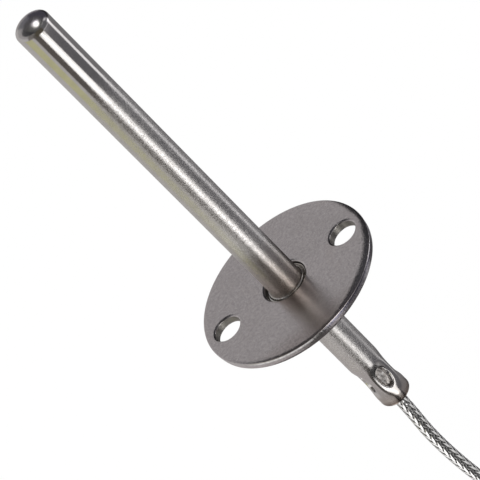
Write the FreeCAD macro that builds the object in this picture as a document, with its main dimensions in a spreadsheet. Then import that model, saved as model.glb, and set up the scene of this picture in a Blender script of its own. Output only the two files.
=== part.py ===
import FreeCAD, Part
import math
import os
import types
import Sketcher

# A wire thermocouple: a stainless tube with a closed tip passes through a welded two-hole flange,
# and its rear end is dimple-crimped onto a braided cable.
# Millimetres. The origin is the middle of the flange's front face, +Z runs along the probe to its
# tip, and X runs through the two screw holes.

Vector = FreeCAD.Vector

SIZES = {
    # probe tube
    "sheath_diameter": 6.0,
    "sheath_wall": 0.5,
    "probe_length": 65.65,
    "tip_land": 2.0,
    "tip_crown": 0.65,
    "tip_knuckle": 1.3,
    "tip_thickness": 1.35,
    "tail_reduction": 0.25,
    "tail_length": 32.5,
    "neck_setback": 5.0,
    "neck_length": 2.0,
    # crimp: distances along the tube are from its rear end
    "crimp_setback": 5.9,
    "crimp_reach": 3.8,
    "crimp_draw": 0.9,
    "mouth_chamfer": 0.3,
    "dimple_count": 4,
    "dimple_angle": -69.5,
    "punch_length": 4.7,
    "punch_width": 2.1,
    "punch_draft": 15.0,
    "cable_squeeze": 0.1,
    # flange
    "flange_diameter": 32.0,
    "flange_thickness": 1.5,
    "rim_chamfer": 0.22,
    "hole_chamfer": 0.2,
    "screw_count": 2,
    "screw_inset": 4.0,
    "screw_hole": 4.8,
    "weld_gap": 0.95,
    # weld
    "weld_recess": 0.8,
    "root_width": 0.47,
    "root_rise": 0.35,
    "bead_leg": 1.6,
    # wires inside the tube
    "wire_diameter": 0.5,
    "wire_spacing": 1.1,
    "wire_sleeve_wall": 0.25,
    "junction_diameter": 1.7,
    "junction_length": 1.7,
    "junction_setback": 2.2,
    "cement_length": 8.0,
    # cable
    "cable_diameter": 2.2,
    "cable_entry": 22.7,
    "coil_radius": 12.5,
    "coil_depth": 6.6,
    "coil_width": 8.8,
    "coil_drop": 86.0,
    "tie_width": 3.0,
    "tie_thickness": 0.8,
    "tie_head": 3.6,
    # far end of the cable
    "end_sleeve_length": 8.5,
    "end_sleeve_wall": 0.6,
    "end_sleeve_grip": 4.0,
    "lead_diameter": 1.1,
    "barrel_length": 4.5,
    "barrel_wall": 0.4,
    "barrel_base": 1.0,
    "tongue_length": 9.0,
    "tongue_width": 5.6,
    "tongue_thickness": 0.8,
    "tongue_shoulder": 2.0,
    "fork_slot": 3.2,
    "fork_root": 5.0,
    "boot_wall": 0.35,
}

# Each arc of a cable takes this share of the shorter run beside it
ARC_SHARE = 0.45

doc = FreeCAD.newDocument("wire_thermocouple")
sheet = doc.addObject("Spreadsheet::Sheet", "sizes")
for row, (alias, number) in enumerate(SIZES.items(), start=1):
    sheet.set(f"A{row}", alias)
    sheet.set(f"B{row}", str(number))
    sheet.setAlias(f"B{row}", alias)
doc.recompute()


class Dimension:
    """A length with its value and the expression that ties it to the sheet."""

    def __init__(self, text, value):
        self.text = text
        self.value = value

    def joined(self, sign, other, value):
        other_text = other.text if isinstance(other, Dimension) else str(other)
        return Dimension(f"({self.text} {sign} {other_text})", value)

    def __add__(self, other):
        return self.joined("+", other, self.value + plain(other))

    def __sub__(self, other):
        return self.joined("-", other, self.value - plain(other))

    def __mul__(self, other):
        return self.joined("*", other, self.value * plain(other))

    def __truediv__(self, other):
        return self.joined("/", other, self.value / plain(other))

    def __neg__(self):
        return Dimension(f"(-{self.text})", -self.value)


def plain(number):
    return number.value if isinstance(number, Dimension) else number


size = types.SimpleNamespace(
    **{alias: Dimension(f"sizes.{alias}", float(sheet.get(alias))) for alias in SIZES}
)
ZERO = Dimension("0", 0.0)

# Sizes that several pieces share
sheath_radius = size.sheath_diameter / 2
tail_radius = sheath_radius - size.tail_reduction / 2
bore_radius = tail_radius - size.sheath_wall
bore_top = size.probe_length - size.tip_thickness
cable_radius = size.cable_diameter / 2
crimp_centre = -size.tail_length + size.crimp_setback
crimp_start = crimp_centre + size.crimp_reach
mouth_start = crimp_centre - size.crimp_reach
throat_half = cable_radius - size.cable_squeeze
punch_floor = throat_half + size.sheath_wall
flange_bore_radius = sheath_radius + size.weld_gap
junction_height = bore_top - size.junction_setback
wire_sleeve_radius = size.wire_diameter / 2 + size.wire_sleeve_wall
barrel_radius = size.lead_diameter / 2 + size.barrel_wall


# Helpers for the document


def bind(thing, name, dimension):
    """Ties a property to the sheet."""
    thing.setExpression(name, dimension.text)


def make_body(label):
    body = doc.addObject("PartDesign::Body", label)
    body.Label = label
    return body


def make_sketch(body, name, role):
    sketch = body.newObject("Sketcher::SketchObject", name)
    plane = next(item for item in body.Origin.OriginFeatures if item.Role == role)
    sketch.AttachmentSupport = [(plane, "")]
    sketch.MapMode = "FlatFace"
    return sketch


def fix_point(sketch, geometry, position, x, y):
    """Holds one point of a sketch at x, y from the sketch's origin."""
    for kind, dimension in (("DistanceX", x), ("DistanceY", y)):
        index = sketch.addConstraint(
            Sketcher.Constraint(kind, -1, 1, geometry, position, dimension.value)
        )
        if dimension.text != ZERO.text:
            bind(sketch, f"Constraints[{index}]", dimension)


def outline(body, name, role, corners):
    """A closed outline of straight sides through corners."""
    sketch = make_sketch(body, name, role)
    points = [Vector(x.value, y.value, 0) for x, y in corners]
    for start, stop in zip(points, points[1:] + points[:1]):
        sketch.addGeometry(Part.LineSegment(start, stop))
    for side, (x, y) in enumerate(corners):
        following = (side + 1) % len(corners)
        sketch.addConstraint(Sketcher.Constraint("Coincident", side, 2, following, 1))
        fix_point(sketch, side, 1, x, y)
    return sketch


def circle_sketch(body, name, role, radius, x=ZERO, y=ZERO):
    sketch = make_sketch(body, name, role)
    middle = Vector(x.value, y.value, 0)
    geometry = sketch.addGeometry(Part.Circle(middle, Vector(0, 0, 1), radius.value))
    fix_point(sketch, geometry, 3, x, y)
    index = sketch.addConstraint(Sketcher.Constraint("Radius", geometry, radius.value))
    bind(sketch, f"Constraints[{index}]", radius)
    return sketch


def revolve(body, sketch, name):
    feature = body.newObject("PartDesign::Revolution", name)
    feature.Profile = sketch
    feature.ReferenceAxis = (sketch, ["V_Axis"])
    feature.Angle = 360
    return feature


def pocket_through(body, sketch, name):
    feature = body.newObject("PartDesign::Pocket", name)
    feature.Profile = sketch
    feature.Type = "ThroughAll"
    return feature


def spin_pattern(body, feature, name, count):
    """Repeats a feature evenly about Z."""
    pattern = body.newObject("PartDesign::PolarPattern", name)
    pattern.Originals = [feature]
    axis = next(item for item in body.Origin.OriginFeatures if item.Role == "Z_Axis")
    pattern.Axis = (axis, [""])
    pattern.Angle = 360
    bind(pattern, "Occurrences", count)
    body.Tip = pattern
    return pattern


def ring_edges(shape, radius, height=None):
    """Names of the circular edges of one radius, at one height if it is given."""
    names = []
    for index, edge in enumerate(shape.Edges, start=1):
        if edge.Degenerated or not isinstance(edge.Curve, Part.Circle):
            continue
        level = height is None or abs(edge.Curve.Center.z - height.value) < 1e-6
        if level and abs(edge.Curve.Radius - radius.value) < 1e-6:
            names.append(f"Edge{index}")
    return names


def round_edges(body, feature, name, edges, radius):
    fillet = body.newObject("PartDesign::Fillet", name)
    fillet.Base = (feature, edges)
    bind(fillet, "Radius", radius)
    return fillet


def chamfer_edges(body, feature, name, edges, width):
    chamfer = body.newObject("PartDesign::Chamfer", name)
    chamfer.Base = (feature, edges)
    bind(chamfer, "Size", width)
    return chamfer


def cylinder(name, radius, height, x=ZERO, y=ZERO, z=ZERO):
    rod = doc.addObject("Part::Cylinder", name)
    bind(rod, "Radius", radius)
    bind(rod, "Height", height)
    place(rod, x, y, z)
    return rod


def block(name, lengths, corner):
    box = doc.addObject("Part::Box", name)
    for side, length in zip(("Length", "Width", "Height"), lengths):
        bind(box, side, length)
    place(box, *corner)
    return box


def place(thing, x, y, z):
    for axis, dimension in (("x", x), ("y", y), ("z", z)):
        if dimension.text != ZERO.text:
            bind(thing, f"Placement.Base.{axis}", dimension)


def cut(label, base, tool):
    feature = doc.addObject("Part::Cut", label)
    feature.Base = base
    feature.Tool = tool
    feature.Label = label
    return feature


def fuse(name, things):
    feature = doc.addObject("Part::MultiFuse", name)
    feature.Shapes = things
    return feature


def solid(name, shape):
    feature = doc.addObject("Part::Feature", name)
    feature.Shape = shape
    return feature


# Probe tube


def tube_outside():
    """The turned outside: crowned closed tip, straight stem, slightly reduced tail with an eased rim."""
    body = make_body("tube_outside")
    shoulder_height = size.probe_length - size.tip_crown
    corners = [
        (ZERO, size.probe_length),
        (size.tip_land / 2, size.probe_length),
        (sheath_radius, shoulder_height),
        (sheath_radius, -size.neck_setback),
        (tail_radius, -size.neck_setback - size.neck_length),
        (tail_radius, -size.tail_length + size.mouth_chamfer),
        (tail_radius - size.mouth_chamfer, -size.tail_length),
        (ZERO, -size.tail_length),
    ]
    form = revolve(body, outline(body, "tube_outline", "XZ_Plane", corners), "tube_form")
    doc.recompute()
    shoulder = ring_edges(form.Shape, sheath_radius, shoulder_height)
    round_edges(body, form, "tip_knuckle_rounding", shoulder, size.tip_knuckle)
    return body


def tube_hollow():
    """The bore up to the closed tip, the square throat in line with the dimples, and the open mouth."""
    bore = cylinder("tube_bore", bore_radius, bore_top - crimp_start, z=crimp_start)
    low = -size.tail_length - size.sheath_wall
    mouth = cylinder("mouth_bore", bore_radius, mouth_start - low, z=low)
    throat = block(
        "crimp_throat", (throat_half * 2, throat_half * 2, crimp_start - mouth_start), (ZERO, ZERO, ZERO)
    )
    turn = FreeCAD.Rotation(Vector(0, 0, 1), size.dimple_angle.value)
    corner = turn.multVec(Vector(-throat_half.value, -throat_half.value, mouth_start.value))
    throat.Placement = FreeCAD.Placement(corner, turn)
    return [bore, throat, mouth]


def dimple_sides():
    """For each dimple, the direction out of the tube and the direction across it."""
    sides = []
    for index in range(int(size.dimple_count.value)):
        angle = math.radians(size.dimple_angle.value) + 2 * math.pi * index / size.dimple_count.value
        out = Vector(math.cos(angle), math.sin(angle), 0)
        sides.append((out, Vector(0, 0, 1).cross(out)))
    return sides


def drawn_sides():
    """Wide rollers that draw the tube in around each dimple."""
    reach = size.crimp_reach
    radius = (reach * reach + size.crimp_draw * size.crimp_draw) / (size.crimp_draw * 2)
    stand_off = tail_radius - size.crimp_draw + radius
    rollers = []
    for index, (out, across) in enumerate(dimple_sides(), start=1):
        roller = cylinder(f"draw_roller_{index}", radius, size.sheath_diameter * 2)
        start = out * stand_off.value - across * size.sheath_diameter.value
        start.z = crimp_centre.value
        roller.Placement = FreeCAD.Placement(start, FreeCAD.Rotation(Vector(0, 0, 1), across))
        rollers.append(roller)
    return rollers


def dimple_punches():
    """The oval punches that press the tube onto the cable; their floors stay one wall off its hollow."""
    along = Vector(0, 0, 1)
    punches = []
    for index, (out, across) in enumerate(dimple_sides(), start=1):
        oval = doc.addObject("Part::Ellipse", f"punch_oval_{index}")
        bind(oval, "MajorRadius", size.punch_length / 2)
        bind(oval, "MinorRadius", size.punch_width / 2)
        floor = out * punch_floor.value + along * crimp_centre.value
        oval.Placement = FreeCAD.Placement(floor, FreeCAD.Rotation(along, across, out, "XZY"))
        punch = doc.addObject("Part::Extrusion", f"dimple_punch_{index}")
        punch.Base = oval
        punch.DirMode = "Custom"
        punch.Dir = out
        punch.Solid = True
        bind(punch, "LengthFwd", sheath_radius)
        bind(punch, "TaperAngle", size.punch_draft)
        punches.append(punch)
    return punches


def probe_sheath():
    """The tube as one drawn piece: its outside, less the crimp's dents, less the hollow."""
    cuts = fuse("sheath_cuts", drawn_sides() + dimple_punches() + tube_hollow())
    return cut("probe_sheath", tube_outside(), cuts)


# Flange and weld


def mounting_flange():
    """A round plate behind its front face at z = 0, with the tube's bore and two screw holes."""
    body = make_body("mounting_flange")
    disc = body.newObject("PartDesign::Pad", "flange_disc")
    disc.Profile = circle_sketch(body, "disc_outline", "XY_Plane", size.flange_diameter / 2)
    bind(disc, "Length", size.flange_thickness)
    disc.Reversed = True
    pocket_through(body, circle_sketch(body, "bore_circle", "XY_Plane", flange_bore_radius), "flange_bore")
    hole_place = size.flange_diameter / 2 - size.screw_inset
    hole_sketch = circle_sketch(body, "screw_circle", "XY_Plane", size.screw_hole / 2, x=hole_place)
    hole = pocket_through(body, hole_sketch, "screw_hole_cut")
    holes = spin_pattern(body, hole, "screw_holes", size.screw_count)
    doc.recompute()
    rim = ring_edges(holes.Shape, size.flange_diameter / 2, ZERO)
    eased = chamfer_edges(body, holes, "rim_easing", rim, size.rim_chamfer)
    doc.recompute()
    mouths = ring_edges(eased.Shape, size.screw_hole / 2, ZERO)
    mouths += ring_edges(eased.Shape, flange_bore_radius, ZERO)
    chamfer_edges(body, eased, "hole_mouth_easing", mouths, size.hole_chamfer)
    return body


def flange_weld():
    """The weld between tube and plate: a stepped root seen from the front and a full bead behind."""
    body = make_body("flange_weld")
    root_radius = sheath_radius + size.root_width
    back = -size.flange_thickness
    corners = [
        (sheath_radius, -size.weld_recess + size.root_rise),
        (root_radius, -size.weld_recess + size.root_rise),
        (root_radius, -size.weld_recess),
        (flange_bore_radius, -size.weld_recess),
        (flange_bore_radius, back),
        (sheath_radius + size.bead_leg, back),
        (sheath_radius, back - size.bead_leg),
    ]
    revolve(body, outline(body, "weld_outline", "XZ_Plane", corners), "weld_ring")
    return body


# Wires and junction inside the tube


def hot_junction():
    """The barrel-shaped bead where the two wires are welded together."""
    body = make_body("hot_junction")
    radius = size.junction_diameter / 2
    half = size.junction_length / 2
    corners = [
        (ZERO, junction_height + half),
        (radius / 2, junction_height + half),
        (radius, junction_height + half / 2),
        (radius, junction_height - half / 2),
        (radius / 2, junction_height - half),
        (ZERO, junction_height - half),
    ]
    revolve(body, outline(body, "bead_outline", "XZ_Plane", corners), "bead_form")
    return body


def wire_and_sleeve(polarity, side, bead):
    """One straight wire from the cable's cut end to the bead, in a sleeve that ends at the cement."""
    start = -size.cable_entry
    offset = size.wire_spacing / 2 * side
    reach = cylinder(
        f"{polarity}_wire_rod", size.wire_diameter / 2, junction_height - start, x=offset, z=start
    )
    wire = cut(f"{polarity}_wire", reach, bead)
    length = bore_top - size.cement_length - start
    rod = cylinder(f"{polarity}_sleeve_rod", wire_sleeve_radius, length, x=offset, z=start)
    sleeve = cut(f"{polarity}_sleeve", rod, reach)
    return wire, sleeve


def tip_cement(bead, wires):
    """Cement that fills the closed end of the bore around the bead and the wires."""
    plug = cylinder("cement_plug", bore_radius, size.cement_length, z=bore_top - size.cement_length)
    return cut("tip_cement", plug, fuse("cement_cuts", [bead] + wires))


# Cable: the routes are points chosen along the cable, from its start to its end

CABLE_ROUTE = [
    (0.0, 0.0, -size.cable_entry.value),
    (0.0, 0.0, -34.4),
    (-0.95, -0.1, -46.5),
    (0.4, 0.1, -64.0),
    (4.6, 1.6, -71.5),
]
TAIL_ROUTE = [
    (13.6, -3.1, -91.5),
    (14.2, -2.6, -120.5),
]
LEAD_RUNS = [(0.6, 0.0), (3.9, -32.6)]


def rounded_path(label, points, diameter):
    """Straight runs joined by tangent arcs, each as large as the runs beside it allow."""
    edges = []
    radii = []
    here = points[0]
    for before, corner, after in zip(points, points[1:], points[2:]):
        inward = (corner - before).normalize()
        outward = (after - corner).normalize()
        reach = ARC_SHARE * min((corner - before).Length, (after - corner).Length)
        half_turn = inward.getAngle(outward) / 2
        radius = reach / math.tan(half_turn)
        start = corner - inward * reach
        stop = corner + outward * reach
        bisector = (outward - inward).normalize()
        middle = corner + bisector * (radius / math.cos(half_turn) - radius)
        edges.append(Part.LineSegment(here, start).toShape())
        edges.append(Part.Arc(start, middle, stop).toShape())
        radii.append(round(radius / diameter, 1))
        here = stop
    edges.append(Part.LineSegment(here, points[-1]).toShape())
    print(f"{label}: arc radii in diameters {radii}")
    return Part.Wire(edges)


def cable_tube(label, route, diameter):
    """A plain round tube along a route, its volume compared with its section times its length."""
    points = [Vector(*point) for point in route]
    path = rounded_path(label, points, diameter)
    ring = Part.Wire(Part.makeCircle(diameter / 2, points[0], points[1] - points[0]))
    tube = path.makePipe(Part.Face(ring))
    expected = math.pi * diameter**2 / 4 * path.Length
    print(f"{label}: length {path.Length:.1f}, volume over expected {tube.Volume / expected:.4f}")
    return tube


def coil_and_tie(tubes):
    """The coil's plain outer form, with the free runs let into it, and the strap around it."""
    ring = make_body("coil_form")
    half = size.coil_width / 2
    inner = size.coil_radius - size.coil_depth / 2
    outer = size.coil_radius + size.coil_depth / 2
    corners = [(inner, half), (inner, -half), (outer, -half), (outer, half)]
    revolve(ring, outline(ring, "bundle_outline", "XY_Plane", corners), "coil_ring")
    place(ring, ZERO, ZERO, -size.coil_drop)
    coil = cut("cable_coil", ring, fuse("coil_runs", tubes))
    width = size.coil_width + size.tie_thickness * 2
    depth = size.coil_depth + size.tie_thickness * 2
    left = -outer - size.tie_thickness
    low = -size.coil_drop - size.tie_width / 2
    band = block("tie_band", (depth, width, size.tie_width), (left, -width / 2, low))
    head_size = (size.tie_head, size.tie_head, size.tie_width)
    head = block("tie_head_block", head_size, (left - size.tie_head / 2, -size.tie_head / 2, low))
    tie = cut("coil_tie", fuse("tie_form", [band, head]), ring)
    return coil, tie


def terminal_and_boot(polarity, lead, placement):
    """A fork lug crimped on the lead, tongue downwards, with a boot over its barrel."""
    tongue = make_body(f"{polarity}_tongue")
    half = size.tongue_width / 2
    corners = [
        (barrel_radius, ZERO),
        (half, -size.tongue_shoulder),
        (half, -size.tongue_length),
        (-half, -size.tongue_length),
        (-half, -size.tongue_shoulder),
        (-barrel_radius, ZERO),
    ]
    plate = tongue.newObject("PartDesign::Pad", f"{polarity}_plate")
    plate.Profile = outline(tongue, f"{polarity}_plate_outline", "XZ_Plane", corners)
    plate.Midplane = True
    bind(plate, "Length", size.tongue_thickness)
    slot = size.fork_slot / 2
    fork = [
        (slot, -size.fork_root),
        (slot, -size.tongue_length - size.fork_slot),
        (-slot, -size.tongue_length - size.fork_slot),
        (-slot, -size.fork_root),
    ]
    sketches = {
        "fork": outline(tongue, f"{polarity}_fork_outline", "XZ_Plane", fork),
        "root": circle_sketch(tongue, f"{polarity}_root_circle", "XZ_Plane", slot, y=-size.fork_root),
    }
    for name, sketch in sketches.items():
        pocket = pocket_through(tongue, sketch, f"{polarity}_{name}_cut")
        pocket.Midplane = True
    barrel = cylinder(
        f"{polarity}_barrel", barrel_radius, size.barrel_length + size.barrel_base, z=-size.barrel_base
    )
    lug = fuse(f"{polarity}_lug", [tongue, barrel])
    lug.Placement = placement
    terminal = cut(f"{polarity}_terminal", lug, lead)
    tube = cylinder(f"{polarity}_boot_rod", barrel_radius + size.boot_wall, size.barrel_length)
    tube.Placement = placement
    boot = cut(f"{polarity}_boot", tube, fuse(f"{polarity}_boot_cuts", [lug, lead]))
    return terminal, boot


def far_end(tail):
    """The sleeve over the braid's cut end, the two leads and their lugs."""
    end = Vector(*TAIL_ROUTE[-1])
    pieces = []
    leads = []
    for polarity, side in (("positive", 1), ("negative", -1)):
        route = [(end.x + side * across, end.y, end.z + down) for across, down in LEAD_RUNS]
        run = solid(f"{polarity}_lead_run", cable_tube(f"{polarity}_lead", route, size.lead_diameter.value))
        lead = cut(f"{polarity}_lead", run, tail)
        leads.append(lead)
        tip = Vector(*route[-1])
        lean = FreeCAD.Rotation(Vector(0, 0, -1), tip - Vector(*route[-2]))
        pieces += terminal_and_boot(polarity, lead, FreeCAD.Placement(tip, lean))
    rod = cylinder("end_sleeve_rod", cable_radius + size.end_sleeve_wall, size.end_sleeve_length)
    low = end.z + size.end_sleeve_grip.value - size.end_sleeve_length.value
    rod.Placement = FreeCAD.Placement(Vector(end.x, end.y, low), FreeCAD.Rotation())
    sleeve = cut("braid_end_sleeve", rod, fuse("end_sleeve_cuts", [tail] + leads))
    return [sleeve] + leads + pieces


def build():
    sheath = probe_sheath()
    pieces = [sheath, mounting_flange(), flange_weld()]
    bead = hot_junction()
    pairs = [wire_and_sleeve("positive", 1, bead), wire_and_sleeve("negative", -1, bead)]
    wires = [pair[0] for pair in pairs]
    sleeves = [pair[1] for pair in pairs]
    pieces += [bead] + wires + sleeves + [tip_cement(bead, wires)]
    run = solid("cable_run", cable_tube("cable", CABLE_ROUTE, size.cable_diameter.value))
    tail = solid("cable_tail", cable_tube("tail", TAIL_ROUTE, size.cable_diameter.value))
    cable = cut("braided_cable", run, sheath)
    pieces += [cable, tail]
    pieces += coil_and_tie([cable, tail])
    pieces += far_end(tail)
    return pieces


def write(pieces):
    doc.recompute()
    for thing in doc.Objects:
        if {"Invalid", "Error"} & set(thing.State):
            raise RuntimeError(f"{thing.Label} failed: {thing.State}")
    for piece in pieces:
        if piece.Shape.isNull() or not piece.Shape.isValid() or not piece.Shape.Solids:
            raise RuntimeError(f"{piece.Label} has no valid solid")
    os.makedirs("parts", exist_ok=True)
    for piece in pieces:
        piece.Shape.exportStep(f"parts/{piece.Label}.step")
        box = piece.Shape.BoundBox
        heights = f"z {box.ZMin:.2f} to {box.ZMax:.2f}"
        print(f"{piece.Label}: {len(piece.Shape.Solids)} solid, {piece.Shape.Volume:.2f} mm3, {heights}")


write(build())
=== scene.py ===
import math

import bpy
import numpy as np
from mathutils import Matrix, Vector
from mathutils.geometry import delaunay_2d_cdt


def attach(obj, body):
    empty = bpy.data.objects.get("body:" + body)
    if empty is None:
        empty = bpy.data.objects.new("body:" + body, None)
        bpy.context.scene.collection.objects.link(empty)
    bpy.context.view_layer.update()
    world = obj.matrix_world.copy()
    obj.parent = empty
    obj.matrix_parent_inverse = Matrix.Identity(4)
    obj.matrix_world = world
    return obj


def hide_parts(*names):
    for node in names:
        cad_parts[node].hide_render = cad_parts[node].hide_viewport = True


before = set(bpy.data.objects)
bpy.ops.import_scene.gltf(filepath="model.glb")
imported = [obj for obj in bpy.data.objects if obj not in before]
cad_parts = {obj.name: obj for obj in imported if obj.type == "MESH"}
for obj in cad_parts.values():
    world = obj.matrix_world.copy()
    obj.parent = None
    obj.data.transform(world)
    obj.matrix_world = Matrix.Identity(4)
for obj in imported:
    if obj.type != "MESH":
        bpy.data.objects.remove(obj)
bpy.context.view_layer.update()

# A wire thermocouple: polished probe tube, two-hole flange, dimple crimp and braided cable.
# The pieces' sizes are in millimetres, and the materials' and the studio's in metres.

MM = 0.001
TURN = 2 * math.pi

# Tube
TUBE_RADIUS = 3.0
TAIL_RADIUS = 2.875
BORE_RADIUS = 2.375
DOME_BASE = 64.06
DOME_HEIGHT = 1.59
DOME_FULLNESS = 2.25
BORE_TOP = 64.3
NECK_TOP = -5.0
NECK_LOW = -7.0
TAIL_END = -32.5
TUBE_SIDES = 256
DOME_RINGS = 34
STRAIGHT_RINGS = 16
NECK_RINGS = 7
NECK_START = 0.15
TAIL_RINGS = 6
TOP_GAP = 1.5
TAIL_GAP = 2.0
TUBE_SHARP = math.radians(50)

# Crimp
CRIMP_CENTRE = -26.6
CRIMP_REACH = 4.3
CRIMP_DRAW = 0.78
CRIMP_STEP = 0.075
DIMPLE_COUNT = 4
DIMPLE_ANGLE = math.radians(-69.5)
OVAL_HALF_WIDTH = 1.2
OVAL_HALF_LENGTH = 2.5
OVAL_FLOOR = 1.58
OVAL_WALL = 0.13
MOUTH_ROUNDING = 0.38
MOUTH_EASE = 0.1
MOUTH_FLAT = 0.4
THROAT_RADIUS = 1.14
THROAT_TOP = -22.8
THROAT_LOW = -30.4
THROAT_EASE = 0.15

# Ripple on the pressed ovals, and the rates of its waves across and along
RIPPLE_HEIGHT = 0.010
RIPPLE_WAVES = ((4.2, 1.3), (1.2, 2.3))

# Flange
FLANGE_RADIUS = 16.0
FLANGE_THICKNESS = 1.5
FLANGE_BORE = 3.95
SCREW_RADIUS = 2.4
SCREW_PLACE = 12.0
RIM_SIDES = 256
BORE_SIDES = 128
SCREW_SIDES = 96
EDGE_ROUNDING = 0.16
NARROW_ROLL = 0.5
NARROW_LEAN = math.radians(15)
BROAD_ROLL = 1.35
BROAD_LEAN = math.radians(22)
BROAD_SIDE = math.radians(-20)
BROAD_FULL = math.radians(25)
BROAD_GONE = math.radians(65)
HOLE_NEAR = math.radians(3)
HOLE_CLEAR = math.radians(12)
ROLL_BY_HOLES = 0.95
HOLE_ROLL = 0.36
HOLE_LEAN = math.radians(40)
ROLL_STEPS = 9
EDGE_LAND = 0.12
SHEAR_TAPER = 0.12
BACK_EASE = 0.1
FLANGE_SHARP = math.radians(55)
KEEP_INSIDE = 1
MERGE_GAP = 1e-7

# Rounding of the flange's back edges: rim inset, hole widening, height above the back
BACK_EDGE = ((0.03, 0.02, 0.02), (0.12, 0.1, 0.0))

# Weld
WELD_SIDES = 240
ROOT_FULL_SIDE = math.radians(-25)
BEAD_SCALES = 17
BEAD_SCALE_HEIGHT = 0.07
BEAD_SWAYS = 5
BEAD_SWAY_HEIGHT = 0.03
BEAD_MEAN = 0.05
ROOT_RIPPLE = -0.5

# Section of the weld ring: radius, z, share of the ripple, and rise on the root's full side
WELD_SECTION = [
    (2.97, -0.50, 0.0, 0.10), (3.04, -0.52, 0.1, 0.08), (3.10, -0.47, 0.2, 0.10),
    (3.18, -0.34, 0.25, 0.10), (3.26, -0.29, 0.25, 0.08), (3.34, -0.31, 0.2, 0.05),
    (3.42, -0.42, 0.1, 0.02), (3.48, -0.58, 0.1, 0.0), (3.53, -0.80, 0.1, 0.16),
    (3.59, -0.84, 0.2, 0.30), (3.66, -0.84, 0.2, 0.44), (3.76, -0.84, 0.2, 0.47),
    (3.85, -0.86, 0.2, 0.36), (3.92, -0.88, 0.1, 0.20), (3.97, -0.9, 0.0, 0.16),
    (3.97, -1.4, 0.0, 0.0), (4.5, -1.47, 0.1, 0.0), (4.62, -1.6, 0.6, 0.0),
    (4.55, -1.95, 1.0, 0.0), (4.3, -2.4, 1.2, 0.0), (3.85, -2.8, 1.2, 0.0),
    (3.4, -3.05, 1.0, 0.0), (3.08, -3.15, 0.5, 0.0), (2.97, -3.1, 0.0, 0.0),
]

# Cable
CABLE_RADIUS = 1.1
CORE_RADIUS = CABLE_RADIUS - 0.2
CABLE_SIDES = 28
CABLE_STEP = 0.6
BRAID_START = 7.9
BRAID_STOP = 42.0
CORE_GROWS = (BRAID_STOP - 0.4, BRAID_STOP + 0.2)
LINE_RESOLUTION = 10
CARRIERS = 8
LAY = 15.76
STRAND_HEIGHT = 0.06
STRAND_LIFT = 0.055
STRAND_SKEW = 0.6
STRAND_PARTS = 12
STRAND_FILL = 0.84
STRAND_UNDERSIDE = 0.3
STEPS_PER_CROSSING = 6
BRAID_RADIUS = 1.14


def new_object(name, data):
    """A new object in the scene."""
    piece = bpy.data.objects.new(name, data)
    bpy.context.scene.collection.objects.link(piece)
    return piece


def mesh_object(name, points, faces, smooth=True):
    """A new mesh object from points in millimetres."""
    mesh = bpy.data.meshes.new(name)
    mesh.from_pydata([tuple(float(x) * MM for x in point) for point in points], [], faces)
    mesh.polygons.foreach_set("use_smooth", [smooth] * len(mesh.polygons))
    mesh.validate()
    mesh.update()
    return new_object(name, mesh)


def ring_faces(rings, sides, start=0, closed=False, flip=False):
    """Quads between rings of points that follow each other."""
    faces = []
    for ring in range(rings if closed else rings - 1):
        here = start + ring * sides
        there = start + ((ring + 1) % rings) * sides
        for side in range(sides):
            following = (side + 1) % sides
            quad = (here + side, here + following, there + following, there + side)
            faces.append(tuple(reversed(quad)) if flip else quad)
    return faces


def tube_faces(rings, sides, flip=False):
    """Faces of a closed tube whose first and last points are the middles of its ends."""
    faces = ring_faces(rings, sides, start=1, flip=flip)
    end = rings * sides + 1
    last = end - sides
    for side in range(sides):
        following = (side + 1) % sides
        a, b = (side, following) if flip else (following, side)
        faces += [(0, 1 + a, 1 + b), (end, last + b, last + a)]
    return faces


def around(count):
    """Angles of evenly spaced points round a circle."""
    return np.linspace(0, TURN, count, endpoint=False)


def circle(radius, count, x=0.0):
    """Points round a circle whose middle lies on the X axis."""
    angles = around(count)
    return np.stack([x + radius * np.cos(angles), radius * np.sin(angles)], axis=1)


def smooth_step(low, high, value):
    """Zero at the low value, one at the high one, and smooth between them."""
    share = np.clip((value - low) / (high - low), 0.0, 1.0)
    return share * share * (3 - 2 * share)


# Probe tube


def crimp_radius(angle, z):
    """Radius of the crimped tail: four soft lobes, and a crisp oval pressed into each side."""
    along = np.clip(np.abs(z - CRIMP_CENTRE) / CRIMP_REACH, 0, 1)
    fade = np.cos(math.pi / 2 * along) ** 2
    turn = DIMPLE_COUNT * (angle - DIMPLE_ANGLE)
    radius = TAIL_RADIUS - CRIMP_DRAW * fade * (1 + np.cos(turn)) / 2
    nearest = (np.mod(turn + math.pi, TURN) - math.pi) / DIMPLE_COUNT
    across = radius * np.sin(nearest)
    oval = np.sqrt((across / OVAL_HALF_WIDTH) ** 2 + ((z - CRIMP_CENTRE) / OVAL_HALF_LENGTH) ** 2)
    pressed = 1 - smooth_step(1 - OVAL_WALL, 1.0, oval)
    floor = np.minimum(OVAL_FLOOR / np.cos(nearest), radius)
    ripple = RIPPLE_HEIGHT
    for rate_across, rate_along in RIPPLE_WAVES:
        ripple = ripple * np.sin(rate_across * across + rate_along * z)
    return radius + (floor + ripple - radius) * pressed


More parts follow.
